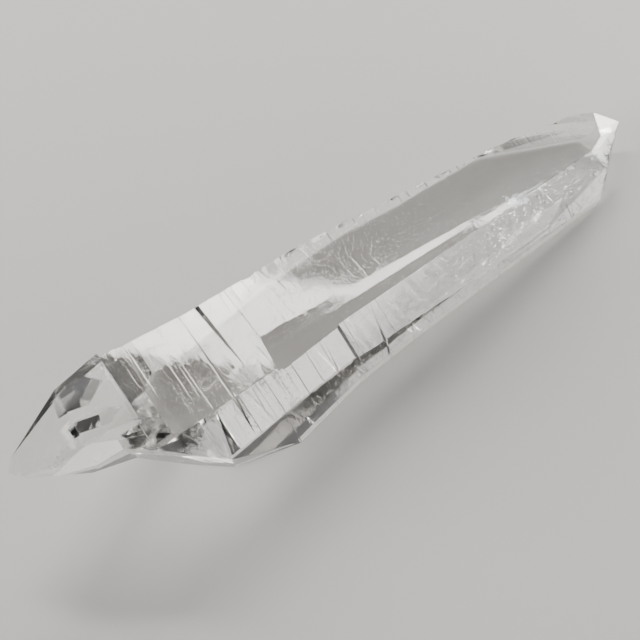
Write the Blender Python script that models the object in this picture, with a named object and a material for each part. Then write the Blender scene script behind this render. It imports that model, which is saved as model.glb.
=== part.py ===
# A lemurian quartz point: one clear crystal, about 93 mm long, lying on a prism face.
# It is laid out with its long axis on X, the point at +X and the broad upper prism face
# level. Each face is given by the way it looks and by how far it stands from the axis.
# The last step tips the stone so that its lower prism face is level on the ground.
import math
import random

import bmesh
import bpy
from mathutils import Matrix, Vector

MM = 0.001                      # the sizes below are in millimetres and degrees

STONE_NAME = "quartz_point"
BODY_START = -30.4              # root end of the six-sided body
BODY_END = 52.0                 # past the tip, which the point facets cut back
LEDGE_RUN = 0.10                # length over which a ladder ledge drops

# The six prism faces. turn is the way a face looks, in degrees from straight up over to
# the front. reach is its distance from the axis at places along the crystal, as
# (place, distance), and the face is flat between two places.
PRISM_FACES = {
    "upper": {"turn": ((0, 0),), "reach": ((-27.1, 2.8), (-27.0, 3.0))},
    "front": {"turn": ((0, 60),),
              "reach": ((-30, 6.9), (-8, 6.8), (0.5, 6.2), (1.0, 5.9), (40, 5.9), (50, 6.0))},
    "front_under": {"turn": ((-11, 104), (5, 112)),
                    "reach": ((-20, 9.6), (-11, 9.0), (0, 7.95), (16, 7.95), (28, 8.15),
                              (40, 8.4))},
    "under": {"turn": ((0, 180),), "reach": ((-40, 14.6), (60, -0.2))},
    "back_under": {"turn": ((0, 240),),
                   "reach": ((-30, 19.2), (-22, 18.5), (-14, 17.5), (-3, 17.3), (4, 16.6),
                             (11, 15.5), (19, 13.3), (33, 10.3), (50, 4.6))},
    "back": {"turn": ((0, 300),),
             "reach": ((-30, 14.3), (-26, 14.1), (-14, 12.3), (4, 11.3), (19, 9.1),
                       (33, 6.8), (50, 2.4))},
}

# Ladder ledges across a prism face, as (place, height): the face swells up to the ledge
# from the root side and drops there. The finer rungs between them are spaced by rule.
# The under face has no ledges, only grooves, so that the stone rests flat on it.
LEDGES = {
    "upper": ((-20.8, 0.09), (-15.0, 0.10), (-8.0, 0.08), (-4.0, 0.06)),
    "front": ((-18.2, 0.14), (-7.0, 0.07), (-4.6, 0.06), (0.75, 0.05)),
    "front_under": ((4.2, 0.08), (5.3, 0.06), (16.3, 0.10), (23.0, 0.07)),
    "back_under": ((9.0, 0.20), (24.0, 0.18)),
    "back": ((-24.5, 0.20), (11.4, 0.26), (36.2, 0.20)),
}
RUNGS = {
    "upper": {"start": -26, "end": -9, "gap": 2.9, "height": 0.03},
    "front": {"start": -17, "end": 6, "gap": 2.3, "height": 0.03},
    "front_under": {"start": -8, "end": 34, "gap": 2.6, "height": 0.05},
    "back_under": {"start": -12, "end": 30, "gap": 1.5, "height": 0.08},
    "back": {"start": -22, "end": 32, "gap": 1.9, "height": 0.07},
}
RUNG_SEED = 7

# Growth grooves across the under face, as (place, depth).
UNDER_GROOVES = ((14.3, 0.10), (27.2, 0.14), (28.0, 0.08), (32.6, 0.06), (-3.0, 0.10))
GROOVE_HALF = 0.16

# Facets that end the crystal. tilt is the angle between the way a facet looks and the
# axis, turn is as above, and the facet passes through the point at.
POINT_FACETS = (
    {"tilt": 64.5, "turn": 13, "at": (46.1, 0.58, 3.0)},        # above the upper face
    {"tilt": 66.8, "turn": 54, "at": (41.1, -5.29, 3.0)},       # above the front face
    {"tilt": 50.3, "turn": 111, "at": (42.4, -6.44, 0.47)},     # the large one
    {"tilt": 51.8, "turn": 180, "at": (48.0, -1.5, 1.5)},
    {"tilt": 51.8, "turn": 240, "at": (47.9, -1.5, 1.5)},
    {"tilt": 45.0, "turn": 300, "at": (44.66, 2.71, 3.0)},
)
ROOT_FACETS = (
    {"tilt": 74.6, "turn": 128, "at": (-19.8, -9.4, -2.7)},     # narrow, along the bottom
    {"tilt": 50.0, "turn": 128, "at": (-19.8, -9.4, -2.7)},     # seen below the notch
    {"tilt": 51.8, "turn": 180, "at": (-30.3, 5.5, -7.5)},
    {"tilt": 51.8, "turn": 240, "at": (-27.0, 15.0, -3.0)},
    {"tilt": 60.0, "turn": 300, "at": (-29.0, 15.6, 3.0)},
)

# The tongue: a second growth that carries the root end on past the body.
TONGUE_BOX = {"low": (-48.0, -8.0, -12.0), "high": (-26.8, 22.0, 2.86)}
TONGUE_FACETS = (
    {"tilt": 61.3, "turn": 60, "at": (-26.5, -3.0, 2.86)},      # long front facet
    {"tilt": 62.0, "turn": 0, "at": (-34.2, 10.0, 2.86)},       # pale end facet
    {"tilt": 78.6, "turn": 285, "at": (-30.6, 15.1, 2.86)},     # back
    {"tilt": 78.0, "turn": 225, "at": (-36.0, 12.0, -6.5)},     # back underside
    {"tilt": 81.1, "turn": 125.3, "at": (-31.4, -0.9, 1.25)},   # front underside
    {"tilt": 74.9, "turn": 134.9, "at": (-32.8, 3.85, -5.0)},
    {"tilt": 66.9, "turn": 123, "at": (-36.8, 1.8, -0.1)},
    {"tilt": 60.6, "turn": 133.8, "at": (-41.0, 4.4, -0.2)},
    {"tilt": 43.3, "turn": 130.8, "at": (-44.1, 9.5, -2.4)},    # worn tip, from here on
    {"tilt": 6.8, "turn": 31.5, "at": (-45.4, 12.4, -3.0)},
    {"tilt": 45.8, "turn": 324.4, "at": (-45.0, 13.9, -2.9)},
    {"tilt": 66.1, "turn": 321.1, "at": (-43.1, 14.2, -1.9)},
)

# Shell-shaped chips along the edges, as centre and radius of the scoop.
EDGE_CHIPS = (
    {"at": (41.9, 3.6, 3.75), "radius": 1.0},
    {"at": (36.6, 5.9, 3.7), "radius": 0.9},
    {"at": (31.6, 7.5, 3.95), "radius": 1.1},
    {"at": (13.2, 10.9, 4.1), "radius": 1.3},
    {"at": (-30.3, 15.9, 3.5), "radius": 0.9},
    {"at": (29.6, -9.2, -1.9), "radius": 1.1},
    {"at": (-12.2, -7.6, -11.6), "radius": 1.3},
)


def radial(turn):
    """Unit vector across the axis that looks the way turn says."""
    angle = math.radians(turn)
    return Vector((0.0, -math.sin(angle), math.cos(angle)))


def facet_normal(tilt, turn, end):
    """Unit vector of an end facet; end is 1 at the point and -1 at the root."""
    lean = math.radians(tilt)
    return Vector((end * math.cos(lean), 0.0, 0.0)) + radial(turn) * math.sin(lean)


def along(profile, place):
    """Value at a place of a profile of (place, value) pairs, straight between them."""
    before = [pair for pair in profile if pair[0] <= place]
    after = [pair for pair in profile if pair[0] > place]
    if not before or not after:
        return (before or after)[-1 if before else 0][1]
    (place_a, value_a), (place_b, value_b) = before[-1], after[0]
    return value_a + (value_b - value_a) * (place - place_a) / (place_b - place_a)


def ladder(face):
    """All the ledges of a face, as (place, height, length of the swelling before it)."""
    if face == "under":
        return []
    chooser = random.Random(RUNG_SEED + len(face))
    steps = [(place, height, 2.4) for place, height in LEDGES[face]]
    rungs = RUNGS[face]
    place = rungs["start"]
    while place < rungs["end"]:
        place += rungs["gap"] * chooser.uniform(0.5, 1.5)
        height = rungs["height"] * chooser.uniform(0.5, 1.4)
        if all(abs(place - step[0]) > 0.9 for step in steps):
            steps.append((place, height, 0.8))
    return steps


def swelling(steps, place):
    """How far the ledges lift a face at a place."""
    lift = 0.0
    for ledge, height, length in steps:
        if ledge - length < place <= ledge:
            lift = max(lift, height * (place - ledge + length) / length)
    return lift


def groove_depth(place):
    """How deep the growth grooves cut the under face at a place."""
    return max(depth * max(0.0, 1 - abs(place - groove) / GROOVE_HALF)
               for groove, depth in UNDER_GROOVES)


def stations(ladders):
    """Every place along the body where the cross-section changes."""
    places = set()
    for face in PRISM_FACES.values():
        places.update(place for place, value in face["turn"] + face["reach"])
    for steps in ladders.values():
        for ledge, height, length in steps:
            places.update((ledge - length, ledge, ledge + LEDGE_RUN))
    for groove, depth in UNDER_GROOVES:
        places.update((groove - GROOVE_HALF, groove, groove + GROOVE_HALF))
    kept = []
    for place in sorted(places):
        if BODY_START < place < BODY_END and (not kept or place - kept[-1] > 0.04):
            kept.append(place)
    return kept


def corners(ladders, place):
    """The six corners of the cross-section at a place, from the upper-front one round."""
    lines = []
    for name, face in PRISM_FACES.items():
        reach = along(face["reach"], place) + swelling(ladders[name], place)
        if name == "under":
            reach -= groove_depth(place)
        lines.append((radial(along(face["turn"], place)), reach))
    found = []
    for index, (normal_a, reach_a) in enumerate(lines):
        normal_b, reach_b = lines[(index + 1) % len(lines)]
        spread = normal_a.y * normal_b.z - normal_a.z * normal_b.y
        found.append(Vector((place,
                             (reach_a * normal_b.z - reach_b * normal_a.z) / spread,
                             (normal_a.y * reach_b - normal_b.y * reach_a) / spread)))
    return found


def six_sided_body():
    """The body between its two rough ends: a hexagonal prism with its rings set in place."""
    ladders = {name: ladder(name) for name in PRISM_FACES}
    length = BODY_END - BODY_START
    lie_down = (Matrix.Translation((BODY_START + length / 2, 0, 0))
                @ Matrix.Rotation(math.radians(90), 4, "Y"))
    mesh = bmesh.new()
    bmesh.ops.create_cone(mesh, cap_ends=True, cap_tris=False, segments=6,
                          radius1=10, radius2=10, depth=length, matrix=lie_down)
    for place in stations(ladders):
        bmesh.ops.bisect_plane(mesh, geom=mesh.verts[:] + mesh.edges[:] + mesh.faces[:],
                               dist=0.0001, plane_co=(place, 0, 0), plane_no=(1, 0, 0))
    rings = {}
    for vert in mesh.verts:
        rings.setdefault(round(vert.co.x, 4), []).append(vert)
    for place, ring in rings.items():
        found = corners(ladders, place)
        for vert in ring:
            looks = math.degrees(math.atan2(-vert.co.y, vert.co.z)) % 360
            vert.co = found[int(looks // 60)]
    return mesh


def cut_facets(mesh, facets, end):
    """Cut flat facets across one end of a convex mesh."""
    for facet in facets:
        bmesh.ops.bisect_plane(mesh, geom=mesh.verts[:] + mesh.edges[:] + mesh.faces[:],
                               dist=0.0001, clear_outer=True, plane_co=facet["at"],
                               plane_no=facet_normal(facet["tilt"], facet["turn"], end))
        open_edges = [edge for edge in mesh.edges if edge.is_boundary]
        bmesh.ops.contextual_create(mesh, geom=open_edges)


def tongue():
    """The second growth at the root end, a box cut down to its own facets."""
    low, high = Vector(TONGUE_BOX["low"]), Vector(TONGUE_BOX["high"])
    box = Matrix.Translation((low + high) / 2) @ Matrix.Diagonal((high - low).to_4d())
    mesh = bmesh.new()
    bmesh.ops.create_cube(mesh, size=1, matrix=box)
    cut_facets(mesh, TONGUE_FACETS, -1)
    return mesh


def chip_scoop(chip):
    """A small ball that scoops a shell-shaped chip out of an edge."""
    mesh = bmesh.new()
    bmesh.ops.create_icosphere(mesh, subdivisions=2, radius=chip["radius"],
                               matrix=Matrix.Translation(chip["at"]))
    return mesh


def place_on_ground(points):
    """Transform that lays the level under face on the ground and centres the crystal."""
    (near_x, near_reach), (far_x, far_reach) = PRISM_FACES["under"]["reach"]
    tip_down = Matrix.Rotation(math.atan2(near_reach - far_reach, far_x - near_x), 4, "Y")
    turned = [tip_down @ point for point in points]
    middle = [(min(p[axis] for p in turned) + max(p[axis] for p in turned)) / 2
              for axis in range(2)]
    lowest = min(p.z for p in turned)
    return (Matrix.Scale(MM, 4) @ Matrix.Translation((-middle[0], -middle[1], -lowest))
            @ tip_down)


def clear_crystal():
    """Clear, faintly warm quartz."""
    material = bpy.data.materials.new("clear_quartz")
    material.use_nodes = True
    surface = material.node_tree.nodes["Principled BSDF"]
    surface.inputs["Base Color"].default_value = (0.93, 0.92, 0.90, 1)
    surface.inputs["Roughness"].default_value = 0.03
    surface.inputs["Metallic"].default_value = 0.0
    surface.inputs["IOR"].default_value = 1.544
    surface.inputs["Transmission Weight"].default_value = 1.0
    return material


def add_object(name, mesh, collection):
    """A scene object from a finished bmesh."""
    data = bpy.data.meshes.new(name)
    mesh.to_mesh(data)
    mesh.free()
    added = bpy.data.objects.new(name, data)
    collection.objects.link(added)
    return added


def main():
    for old in list(bpy.data.objects):
        bpy.data.objects.remove(old, do_unlink=True)
    parts = bpy.data.collections.new(STONE_NAME)
    cutters = bpy.data.collections.new("cutters")
    for collection in (parts, cutters):
        bpy.context.scene.collection.children.link(collection)

    body = six_sided_body()
    cut_facets(body, POINT_FACETS, 1)
    cut_facets(body, ROOT_FACETS, -1)
    second_growth = tongue()
    to_ground = place_on_ground([vert.co for vert in body.verts[:] + second_growth.verts[:]])
    scoops = [chip_scoop(chip) for chip in EDGE_CHIPS]
    for mesh in (body, second_growth, *scoops):
        mesh.transform(to_ground)

    stone = add_object(STONE_NAME, body, parts)
    stone.data.materials.append(clear_crystal())
    joined = [("tongue", second_growth, "UNION")]
    joined += [(f"chip_{index}", scoop, "DIFFERENCE") for index, scoop in enumerate(scoops)]
    for name, mesh, operation in joined:
        other = add_object(name, mesh, cutters)
        other.hide_render = True
        other.display_type = "WIRE"
        joint = stone.modifiers.new(name, "BOOLEAN")
        joint.operation = operation
        joint.solver = "EXACT"
        joint.object = other


main()
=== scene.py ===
import math
import random

import bpy
from mathutils import Matrix, Vector


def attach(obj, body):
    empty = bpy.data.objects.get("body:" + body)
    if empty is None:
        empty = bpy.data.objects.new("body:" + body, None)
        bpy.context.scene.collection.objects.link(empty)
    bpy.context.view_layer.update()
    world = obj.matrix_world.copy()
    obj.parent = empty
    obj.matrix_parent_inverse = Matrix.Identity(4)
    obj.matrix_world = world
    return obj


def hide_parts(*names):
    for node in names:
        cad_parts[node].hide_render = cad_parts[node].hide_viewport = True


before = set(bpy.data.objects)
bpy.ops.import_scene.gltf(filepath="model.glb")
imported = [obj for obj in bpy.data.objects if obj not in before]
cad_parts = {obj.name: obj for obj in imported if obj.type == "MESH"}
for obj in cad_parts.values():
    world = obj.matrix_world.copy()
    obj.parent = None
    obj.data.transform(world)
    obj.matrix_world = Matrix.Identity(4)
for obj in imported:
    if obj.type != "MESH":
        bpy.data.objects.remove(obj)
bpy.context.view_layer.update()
mm = 0.001

# The crystal's own frame: its long axis on X with the point at +X, and Z out of the broad
# upper face. From there the stone is tipped and shifted so that it lies on the ground.
# Places and sizes are in millimetres in that frame, unless a note says otherwise.
lie = {"slope": 0.148, "shift": (-1.1568, -4.5765, 8.5865)}
tip = math.atan(lie["slope"])
stoneFrame = (Matrix.Translation([step * mm for step in lie["shift"]])
              @ Matrix.Rotation(tip, 4, "Y") @ Matrix.Scale(mm, 4))


def selectOnly(piece):
    bpy.ops.object.select_all(action="DESELECT")
    piece.select_set(True)
    bpy.context.view_layer.objects.active = piece


# The camera looks at the middle of the crystal's frame. Its angles are in degrees: how far
# from straight above it stands towards the root and towards the front, and how steeply the
# long axis climbs across the picture. near is in metres.
view = {"back": 7.0, "over": 46.0, "slope": 33.75, "distance": 187.0, "lens": 80.0,
        "sensor": 36, "near": 0.01}


def addCamera():
    back, over, slope = (math.radians(view[key]) for key in ("back", "over", "slope"))
    away = Vector((-math.sin(back), -math.cos(back) * math.sin(over),
                   math.cos(back) * math.cos(over)))
    axis = Vector((1, 0, 0))
    along = (axis - away * axis.dot(away)).normalized()
    across = away.cross(along)
    right = along * math.cos(slope) - across * math.sin(slope)
    up = along * math.sin(slope) + across * math.cos(slope)
    lean = Matrix.Rotation(tip, 3, "Y")
    turn = Matrix((lean @ right, lean @ up, lean @ away)).transposed()
    data = bpy.data.cameras.new("camera")
    data.lens = view["lens"]
    data.sensor_width = view["sensor"]
    data.clip_start = view["near"]
    camera = bpy.data.objects.new("camera", data)
    bpy.context.scene.collection.objects.link(camera)
    camera.matrix_world = Matrix.Translation(stoneFrame @ (away * view["distance"])) @ turn.to_4x4()
    bpy.context.scene.camera = camera


addCamera()
print("camera done")

# On the upper face the ladder marks keep only a share of their height, and the shallow
# grooves of the under face are levelled, because both throw bands of light through the
# clear stone. merge is in metres and flatAngle in degrees.
wear = {"merge": 0.000002, "flatAngle": 0.15, "upperRun": (-30.2, 36), "upperFace": 3.0,
        "upperBand": 0.5, "upperShare": 0.16, "grooveDepth": 0.30}


def softenMarks(stone):
    toCrystal = stoneFrame.inverted()
    low, high = wear["upperRun"]
    top = wear["upperFace"]
    for vert in stone.data.vertices:
        spot = toCrystal @ vert.co
        if low < spot.x < high and top < spot.z < top + wear["upperBand"]:
            spot.z = top + (spot.z - top) * wear["upperShare"]
            vert.co = stoneFrame @ spot
        if vert.co.z < wear["grooveDepth"] * mm:
            vert.co.z = 0


def copyStone():
    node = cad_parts["quartz_point"]
    stone = bpy.data.objects.new("stone", node.data.copy())
    bpy.context.scene.collection.objects.link(stone)
    stone.data.materials.clear()
    selectOnly(stone)
    bpy.ops.object.mode_set(mode="EDIT")
    bpy.ops.mesh.select_all(action="SELECT")
    bpy.ops.mesh.remove_doubles(threshold=wear["merge"])
    bpy.ops.object.mode_set(mode="OBJECT")
    softenMarks(stone)
    bpy.ops.object.mode_set(mode="EDIT")
    bpy.ops.mesh.select_all(action="SELECT")
    bpy.ops.mesh.dissolve_limited(angle_limit=math.radians(wear["flatAngle"]))
    bpy.ops.object.mode_set(mode="OBJECT")
    return stone


stone = copyStone()
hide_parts("quartz_point")
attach(stone, "root")
print("stone copied", len(stone.data.polygons))


def newMaterial(title, values):
    material = bpy.data.materials.new(title)
    material.use_nodes = True
    shader = material.node_tree.nodes["Principled BSDF"]
    for name, value in values.items():
        shader.inputs[name].default_value = value
    return material, shader


# Adds a node. Each socket is given a plain value, or another node's output to read.
def addNode(tree, kind, sockets, **settings):
    made = tree.nodes.new(kind)
    for name, value in settings.items():
        setattr(made, name, value)
    for name, value in sockets.items():
        if isinstance(value, bpy.types.NodeSocket):
            tree.links.new(value, made.inputs[name])
        else:
            made.inputs[name].default_value = value
    return made


# The effect that every finish shares: noise that is picked out between two levels, as
# haze, pits, wear or the specks of a film.
def buildSpeckle():
    group = bpy.data.node_groups.new("speckle", "ShaderNodeTree")
    group.interface.new_socket("Vector", in_out="INPUT", socket_type="NodeSocketVector")
    for name in ("Scale", "Detail", "Grain", "Low", "High", "Least", "Most"):
        group.interface.new_socket(name, in_out="INPUT", socket_type="NodeSocketFloat")
    group.interface.new_socket("Value", in_out="OUTPUT", socket_type="NodeSocketFloat")
    given = addNode(group, "NodeGroupInput", {}).outputs
    noise = addNode(group, "ShaderNodeTexNoise", {
        "Vector": given["Vector"], "Scale": given["Scale"], "Detail": given["Detail"],
        "Roughness": given["Grain"]})
    picked = addNode(group, "ShaderNodeMapRange", {
        "Value": noise.outputs["Fac"], "From Min": given["Low"], "From Max": given["High"],
        "To Min": given["Least"], "To Max": given["Most"]})
    addNode(group, "NodeGroupOutput", {"Value": picked.outputs["Result"]})
    return group


speckleGroup = buildSpeckle()


# A row holds how fine the noise is, how many finer layers it has and how strong they are,
# the levels between which it is picked out, and what it gives at each of them.
def addSpeckle(tree, vector, row):
    low, high = row.get("levels", (0, 1))
    least, most = row.get("gives", (0, 1))
    made = addNode(tree, "ShaderNodeGroup", {
        "Vector": vector, "Scale": row["scale"], "Detail": row["detail"],
        "Grain": row.get("grain", 0.5), "Low": low, "High": high,
        "Least": least, "Most": most}, node_tree=speckleGroup)
    return made.outputs["Value"]


# The clear quartz. relief is the height of its surface marks in metres, and density how
# strongly a metre of it would tint the light. heights says how much of each mark goes into
# the relief, and patch what a small etched patch adds to the roughness and the relief.
quartzLook = {
    "ior": 1.544, "tint": (0.985, 0.98, 0.97), "haze": (0.93, 0.92, 0.90),
    "hazeLevels": (0.35, 0.65), "absorbs": (0.93, 0.92, 0.89), "density": 12,
    "relief": 0.00001,
    "heights": {"rungs": 0.4, "grain": 0.06, "pits": -0.3, "hairs": -0.35},
    "patch": {"at": (-12.5, -3.9, 3.0), "radius": 2.0, "inner": -0.2, "outer": 1.2,
              "ragged": 1.6, "roughness": 0.10, "relief": 5},
}

# The marks on the quartz. A small number in stretch draws a mark out along X, Y or Z.
quartzMarks = {
    "rungs": {"scale": 1400, "detail": 3, "grain": 0.6, "stretch": (1, 0.05, 0.05)},
    "grain": {"scale": 5200, "detail": 2, "grain": 0.6},
    "pits": {"scale": 3400, "detail": 2, "grain": 0.6, "levels": (0.60, 0.74)},
    "hairs": {"scale": 1500, "detail": 2, "grain": 0.6, "stretch": (1, 0.06, 0.06),
              "levels": (0.62, 0.70)},
    "smudge": {"scale": 260, "detail": 6, "grain": 0.7, "stretch": (1, 1.6, 1.6),
               "levels": (0.5, 0.72), "gives": (0.018, 0.188)},
    "haze": {"scale": 420, "detail": 7, "grain": 0.7, "stretch": (1, 1.6, 1.6)},
    "patchEdge": {"scale": 700, "detail": 3},
    "patchRelief": {"scale": 2600, "detail": 3},
}


def stoneMaterial():
    material, glass = newMaterial("quartz", {
        "Base Color": (*quartzLook["tint"], 1), "IOR": quartzLook["ior"],
        "Transmission Weight": 1})
    tree = material.node_tree
    absorb = addNode(tree, "ShaderNodeVolumeAbsorption", {
        "Color": (*quartzLook["absorbs"], 1), "Density": quartzLook["density"]})
    tree.links.new(absorb.outputs["Volume"], tree.nodes["Material Output"].inputs["Volume"])
    objectSpot = addNode(tree, "ShaderNodeTexCoord", {}).outputs["Object"]
    level = addNode(tree, "ShaderNodeMapping", {     # turns the long axis back onto X
        "Vector": objectSpot, "Rotation": (0, -tip, 0)})

    def mark(name):
        row = quartzMarks[name]
        squeezed = addNode(tree, "ShaderNodeVectorMath", {
            0: level.outputs["Vector"], 1: row.get("stretch", (1, 1, 1))}, operation="MULTIPLY")
        return addSpeckle(tree, squeezed.outputs["Vector"], row)

    def combine(operation, first, second):
        made = addNode(tree, "ShaderNodeMath", {0: first, 1: second}, operation=operation)
        return made.outputs["Value"]

    # one ragged round patch near the root is etched
    patch = quartzLook["patch"]
    middle = stoneFrame @ Vector(patch["at"])
    distance = addNode(tree, "ShaderNodeVectorMath", {0: objectSpot, 1: middle},
                       operation="DISTANCE")
    ragged = combine("MULTIPLY", mark("patchEdge"), patch["ragged"] * mm)
    etched = addNode(tree, "ShaderNodeMapRange", {
        "Value": combine("ADD", distance.outputs["Value"], ragged),
        "From Min": (patch["radius"] + patch["outer"]) * mm,
        "From Max": (patch["radius"] + patch["inner"]) * mm}).outputs["Result"]

    low, high = quartzLook["hazeLevels"]
    tones = addNode(tree, "ShaderNodeValToRGB", {"Fac": mark("haze")})
    tones.color_ramp.elements[0].position = low
    tones.color_ramp.elements[1].position = high
    tones.color_ramp.elements[0].color = (*quartzLook["tint"], 1)
    tones.color_ramp.elements[1].color = (*quartzLook["haze"], 1)
    tree.links.new(tones.outputs["Color"], glass.inputs["Base Color"])

    rough = combine("ADD", mark("smudge"), combine("MULTIPLY", etched, patch["roughness"]))
    tree.links.new(rough, glass.inputs["Roughness"])

    height = combine("MULTIPLY", combine("MULTIPLY", mark("patchRelief"), etched),
                     patch["relief"])
    for name, share in quartzLook["heights"].items():
        height = combine("ADD", height, combine("MULTIPLY", mark(name), share))
    bump = addNode(tree, "ShaderNodeBump", {
        "Strength": 1.0, "Distance": quartzLook["relief"], "Height": height})
    tree.links.new(bump.outputs["Normal"], glass.inputs["Normal"])
    return material


# The bottom edge is worn frosty, so it is only partly clear. The worn strip takes in the
# front faces below height, from one place along X on, both in metres. facing and slant say
# which way such a face looks.
wornLook = {"colour": (0.95, 0.93, 0.90), "clear": 0.3, "height": 0.0012, "from": -0.0135,
            "facing": -0.4, "slant": 0.4,
            "frost": {"scale": 1500, "detail": 2, "gives": (0.35, 0.60)}}


def wornMaterial():
    material, frost = newMaterial("worn edge", {
        "Base Color": (*wornLook["colour"], 1), "IOR": quartzLook["ior"],
        "Transmission Weight": wornLook["clear"]})
    tree = material.node_tree
    objectSpot = addNode(tree, "ShaderNodeTexCoord", {}).outputs["Object"]
    rough = addSpeckle(tree, objectSpot, wornLook["frost"])
    tree.links.new(rough, frost.inputs["Roughness"])
    return material


def wearBottomEdge(stone):
    selectOnly(stone)
    bpy.ops.object.mode_set(mode="EDIT")
    bpy.ops.mesh.select_all(action="SELECT")
    bpy.ops.mesh.bisect(plane_co=(0, 0, wornLook["height"]), plane_no=(0, 0, 1))
    bpy.ops.object.mode_set(mode="OBJECT")
    stone.data.materials.append(wornMaterial())
    for face in stone.data.polygons:
        low = face.center.z < wornLook["height"] and face.center.x > wornLook["from"]
        front = face.normal.y < wornLook["facing"] and abs(face.normal.x) < wornLook["slant"]
        if low and front:
            face.material_index = 1


stone.data.materials.append(stoneMaterial())
wearBottomEdge(stone)
print("quartz and worn edge done")

# Shallow facets that step down along the ridge between the upper and the front face. Each
# has a line on the face, how many degrees it looks over to the front from straight up, and
# how far along the crystal it runs.
shaves = {
    "ridgeUpper": {"start": (-7.5, 0.45, 3.0), "end": (29.0, -3.75, 3.0), "turn": 2.5,
                   "reach": (-8.0, 29.5)},
    "ridgeLower": {"start": (-7.6, -2.45, 2.88), "end": (29.0, -4.2, 2.98), "turn": 5.5,
                   "reach": (-8.0, 29.5)},
    "ridgeTip": {"start": (29.5, -4.35, 3.0), "end": (42.5, -4.6, 3.0), "turn": 2.5,
                 "reach": (29.5, 43.0)},
}
shaveBlock = {"depth": 18, "height": 4}


def cutWith(stone, cutter):
    selectOnly(stone)
    joint = stone.modifiers.new("cut", "BOOLEAN")
    joint.operation = "DIFFERENCE"
    joint.solver = "EXACT"
    joint.object = cutter
    bpy.ops.object.modifier_apply(modifier="cut")
    bpy.data.objects.remove(cutter, do_unlink=True)


def shave(stone, name):
    row = shaves[name]
    start, end = Vector(row["start"]), Vector(row["end"])
    along = (end - start).normalized()
    angle = math.radians(row["turn"])
    out = Vector((0, -math.sin(angle), math.cos(angle)))
    out = (out - along * out.dot(along)).normalized()
    across = out.cross(along)
    depth, height = shaveBlock["depth"], shaveBlock["height"]
    low, high = row["reach"]
    stretch = 1 / along.x
    middle = start + along * (((low + high) / 2 - start.x) * stretch) + out * height / 2
    turn = Matrix((along, across, out)).transposed().to_4x4()
    bpy.ops.mesh.primitive_cube_add(size=1)
    block = bpy.context.active_object
    block.data.transform(stoneFrame @ Matrix.Translation(middle) @ turn
                         @ Matrix.Diagonal(((high - low) * stretch, depth, height, 1)))
    cutWith(stone, block)


for name in shaves:
    shave(stone, name)
print("ridge facets done", len(stone.data.polygons))

# Healed cracks inside the stone: thin rippled films, frosty white where they scatter light, plus a
# painted glow.
# Each has its middle, its radii and, in degrees, how its flat side is tipped and turned.
films = {
    "flashA": {"at": (29.4, -4.1, 2.35), "radii": (1.1, 0.7, 0.03), "turn": (62, 20)},
    "flashB": {"at": (30.2, -4.4, 2.05), "radii": (1.0, 0.6, 0.03), "turn": (38, -35)},
    "flashC": {"at": (28.8, -3.7, 2.25), "radii": (0.8, 0.35, 0.03), "turn": (25, 70)},
    "flashD": {"at": (31.0, -4.2, 2.45), "radii": (0.8, 0.3, 0.03), "turn": (75, -10)},
    "flashE": {"at": (32.6, -4.5, 2.45), "radii": (1.3, 0.16, 0.03), "turn": (70, -2)},
    "flashF": {"at": (29.0, -3.2, 2.45), "radii": (0.10, 0.9, 0.03), "turn": (10, 30)},
    "veilLong": {"at": (20.0, 1.9, 1.8), "radii": (2.6, 0.30, 0.03), "turn": (30, -10)},
    "veilFar": {"at": (12.2, 3.2, 1.8), "radii": (1.2, 0.18, 0.02), "turn": (30, -14)},
    "veilShort": {"at": (33.8, -2.4, 2.2), "radii": (1.1, 0.2, 0.02), "turn": (20, -10)},
    "speck": {"at": (-20.3, -2.3, 2.5), "radii": (0.42, 0.3, 0.04), "turn": (35, 15)},
    "crackLine": {"at": (-20.8, 0.6, 1.9), "radii": (0.12, 3.6, 0.02), "turn": (0, 2)},
    "tongueA": {"at": (-34.9, 7.2, 0.8), "radii": (1.7, 0.5, 0.03), "turn": (28, 30)},
    "tongueB": {"at": (-36.8, 5.8, 0.0), "radii": (2.4, 0.6, 0.03), "turn": (46, 10)},
    "tongueC": {"at": (-38.6, 4.9, -0.4), "radii": (1.9, 0.5, 0.03), "turn": (58, -20)},
    "tongueD": {"at": (-33.5, 3.2, -1.2), "radii": (2.8, 0.35, 0.03), "turn": (60, 24)},
}

# How a film is rippled by a few crossing waves, and how its rim swings in and out.
filmShape = {"segments": 40, "rings": 16, "waves": 3, "wave": (1.5, 5), "phase": (0, 6.3),
             "ripple": 1.8, "lobes": 7, "lobe": 0.12, "seed": 11}


def addFilm(name, chooser):
    row = films[name]
    bpy.ops.object.select_all(action="DESELECT")
    bpy.ops.mesh.primitive_uv_sphere_add(segments=filmShape["segments"],
                                         ring_count=filmShape["rings"], radius=1)
    film = bpy.context.active_object
    waves = [(chooser.uniform(*filmShape["wave"]), chooser.uniform(*filmShape["wave"]),
              chooser.uniform(*filmShape["phase"])) for step in range(filmShape["waves"])]
    for vert in film.data.vertices:
        x, y = vert.co.x, vert.co.y
        ripple = sum(math.sin(a * x + b * y + c) for a, b, c in waves)
        swing = math.sin(filmShape["lobes"] * math.atan2(y, x) + waves[0][2])
        edge = 1 + filmShape["lobe"] * swing
        vert.co.x, vert.co.y = x * edge, y * edge
        vert.co.z += filmShape["ripple"] * ripple
    first, second = (math.radians(angle) for angle in row["turn"])
    turn = Matrix.Rotation(second, 4, "Z") @ Matrix.Rotation(first, 4, "X")
    film.data.transform(stoneFrame @ Matrix.Translation(row["at"]) @ turn
                        @ Matrix.Diagonal((*row["radii"], 1)))
    film.data.polygons.foreach_set("use_smooth", [True] * len(film.data.polygons))
    return film


def joinFilms(names, title):
    chooser = random.Random(filmShape["seed"])
    made = [addFilm(name, chooser) for name in names]
    bpy.ops.object.select_all(action="DESELECT")
    for film in made:
        film.select_set(True)
    bpy.context.view_layer.objects.active = made[0]
    bpy.ops.object.join()
    joined = bpy.context.active_object
    joined.name = title
    return joined
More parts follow.
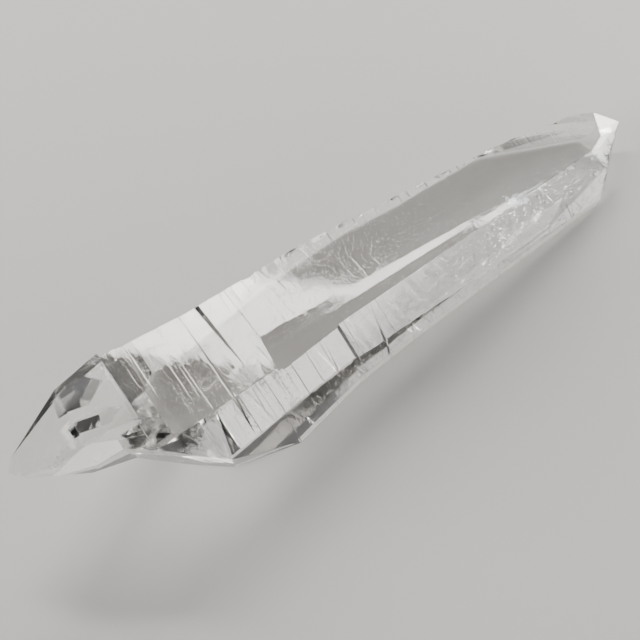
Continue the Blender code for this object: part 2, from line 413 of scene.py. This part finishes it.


# A film is clear between its specks, and a little painted glow, an emission with no lamp
# behind it, stands in for the glint a crack gives where it catches the light.
filmSpecksAndPaintedGlow = {
    "fracture": {"glow": 0.35, "specks": {"scale": 5200, "detail": 3, "levels": (0.45, 0.56)}},
    "veil": {"glow": 0.16, "specks": {"scale": 4200, "detail": 3, "levels": (0.52, 0.70)}},
}
filmColour = {"surface": (0.93, 0.94, 0.97, 1), "glow": (0.90, 0.93, 1.0, 1), "roughness": 0.3}


def filmMaterialWithPaintedGlow(name):
    row = filmSpecksAndPaintedGlow[name]
    # the emission set here is painted light: a glow in the specks standing in for the glint of a
    # lit crack
    material, frost = newMaterial(name, {
        "Base Color": filmColour["surface"], "Roughness": filmColour["roughness"],
        "Emission Color": filmColour["glow"], "Emission Strength": row["glow"]})
    tree = material.node_tree
    objectSpot = addNode(tree, "ShaderNodeTexCoord", {}).outputs["Object"]
    tree.links.new(addSpeckle(tree, objectSpot, row["specks"]), frost.inputs["Alpha"])
    return material


def addInclusion(names, title, look):
    piece = joinFilms(names, title)
    piece.data.materials.append(filmMaterialWithPaintedGlow(look))
    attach(piece, "root")
    print(title, "done", len(piece.data.polygons))


flashNames = [name for name in films if name.startswith("flash")]
veilNames = [name for name in films if name not in flashNames]
addInclusion(flashNames, "inner_fracture", "fracture")
addInclusion(veilNames, "healed_cracks", "veil")

# Open cleavage gaps: flat five-sided slits of air that turn light away. Each has its middle,
# its half width, half depth and half thickness, and the way that its flat side looks.
gaps = {
    "tongueUpper": {"at": (-31.8, 12.0, 0.9), "radii": (4.4, 3.2, 0.02),
                    "looks": (-0.33, 0.22, 0.90)},
    "tongueLower": {"at": (-31.4, 6.4, 0.1), "radii": (4.6, 2.0, 0.02),
                    "looks": (-0.33, 0.22, 0.90)},
    "cornerLeft": {"at": (27.5, -6.4, -0.2), "radii": (0.05, 2.4, 0.04),
                   "looks": (0.1, -0.80, 0.59)},
}
gapSides = 5


def cutGap(stone, name):
    row = gaps[name]
    bpy.ops.mesh.primitive_cylinder_add(vertices=gapSides, radius=1, depth=2)
    slit = bpy.context.active_object
    turn = Vector(row["looks"]).to_track_quat("Z", "X").to_matrix().to_4x4()
    slit.data.transform(stoneFrame @ Matrix.Translation(row["at"]) @ turn
                        @ Matrix.Diagonal((*row["radii"], 1)))
    cutWith(stone, slit)


for name in gaps:
    cutGap(stone, name)
print("gaps done", len(stone.data.polygons))

# Small shell-shaped chips along the worn edges: the two ends of a run, how many chips it
# has, and the least and most radius of a scoop.
chipRuns = {
    "backEdge": {"run": ((-26, 15.4, 3.35), (34, 6.2, 3.45)), "count": 16, "size": (0.45, 0.75)},
    "ridge": {"run": ((30, -5.05, 3.35), (41, -5.45, 3.4)), "count": 7, "size": (0.38, 0.6)},
    "bottom": {"run": ((-11, -6.6, -10.7), (39, -8.1, -3.2)), "count": 9, "size": (0.35, 0.6)},
    "tongueBack": {"run": ((-34.5, 14.7, 3.1), (-27.5, 16.2, 3.1)), "count": 6,
                   "size": (0.4, 0.7)},
}

# place is where a chip may lie in its share of the run, and stretch how long it may be.
chipShape = {"place": (0.1, 0.9), "stretch": (0.9, 2.2), "fineness": 2, "seed": 4}


def addChips(stone, name, chooser):
    row = chipRuns[name]
    start, end = (Vector(spot) for spot in row["run"])
    for step in range(row["count"]):
        share = (step + chooser.uniform(*chipShape["place"])) / row["count"]
        size = chooser.uniform(*row["size"])
        spot = start.lerp(end, share)
        bpy.ops.mesh.primitive_ico_sphere_add(subdivisions=chipShape["fineness"], radius=1)
        scoop = bpy.context.active_object
        length = size * chooser.uniform(*chipShape["stretch"])
        scoop.data.transform(stoneFrame @ Matrix.Translation(spot)
                             @ Matrix.Diagonal((length, size, size, 1)))
        cutWith(stone, scoop)


chipChooser = random.Random(chipShape["seed"])
for name in chipRuns:
    addChips(stone, name, chipChooser)
print("chips done", len(stone.data.polygons))

# The floor lies a hair below the stone: with both faces in one place, the stone's inside
# renders black. Its size and height are in metres.
floorLook = {"size": 2.0, "height": -0.0001, "colour": (0.64, 0.635, 0.625), "roughness": 0.7}


def addFloor():
    bpy.ops.mesh.primitive_plane_add(size=floorLook["size"],
                                     location=(0, 0, floorLook["height"]))
    floor = bpy.context.active_object
    floor.name = "floor"
    material, surface = newMaterial("floor", {"Base Color": (*floorLook["colour"], 1)})
    surface.inputs["Roughness"].default_value = floorLook["roughness"]
    floor.data.materials.append(material)


# Each light is a soft box: where it stands in millimetres from the stone's place on the
# floor, its width and height in metres, how bright its face is, and how many degrees it leans.
softBoxes = {
    "upperFace": {"spot": (190, 425, 360), "size": (0.38, 0.145), "glow": 1.5, "lean": -19},
    "upperRoot": {"spot": (-85, 450, 395), "size": (0.22, 0.13), "glow": 0.8, "lean": 10},
    "ridgeStrip": {"spot": (185, 375, 426), "size": (0.42, 0.050), "glow": 27, "lean": -15},
    "frontFace": {"spot": (135, -560, 130), "size": (0.36, 0.10), "glow": 11.5, "lean": 8},
    "backCard": {"spot": (60, 620, 82), "size": (0.70, 0.07), "glow": 0.9, "lean": 0},
    "pointFacet": {"spot": (184, -67, 21), "size": (0.09, 0.042), "glow": 32, "lean": 0},
    "longFacet": {"spot": (-516, -288, 105), "size": (0.15, 0.08), "glow": 6, "lean": 0},
    "floorLeft": {"spot": (-690, 400, 170), "size": (0.60, 0.20), "glow": 30, "lean": 0},
    "floorRight": {"spot": (690, 400, 170), "size": (0.60, 0.20), "glow": 30, "lean": 0},
}

# aim is the place, in metres, that every soft box faces.
studio = {"aim": (0, 0, 0.008), "light": (1, 0.975, 0.94), "room": (0.10, 0.10, 0.105)}


def addSoftBox(name):
    row = softBoxes[name]
    spot = Vector(row["spot"]) * mm
    data = bpy.data.lights.new(name, "AREA")
    data.shape = "RECTANGLE"
    data.size, data.size_y = row["size"]
    data.color = studio["light"]
    data.energy = row["glow"] * math.pi * row["size"][0] * row["size"][1]
    light = bpy.data.objects.new(name, data)
    bpy.context.scene.collection.objects.link(light)
    turn = (Vector(studio["aim"]) - spot).to_track_quat("-Z", "Y").to_matrix().to_4x4()
    light.matrix_world = (Matrix.Translation(spot) @ turn
                          @ Matrix.Rotation(math.radians(row["lean"]), 4, "Z"))


def addRoom():
    world = bpy.data.worlds.new("studio")
    world.use_nodes = True
    background = world.node_tree.nodes["Background"]
    background.inputs["Color"].default_value = (*studio["room"], 1)
    background.inputs["Strength"].default_value = 1
    bpy.context.scene.world = world


addFloor()
for name in softBoxes:
    addSoftBox(name)
addRoom()
print("floor and lights done")
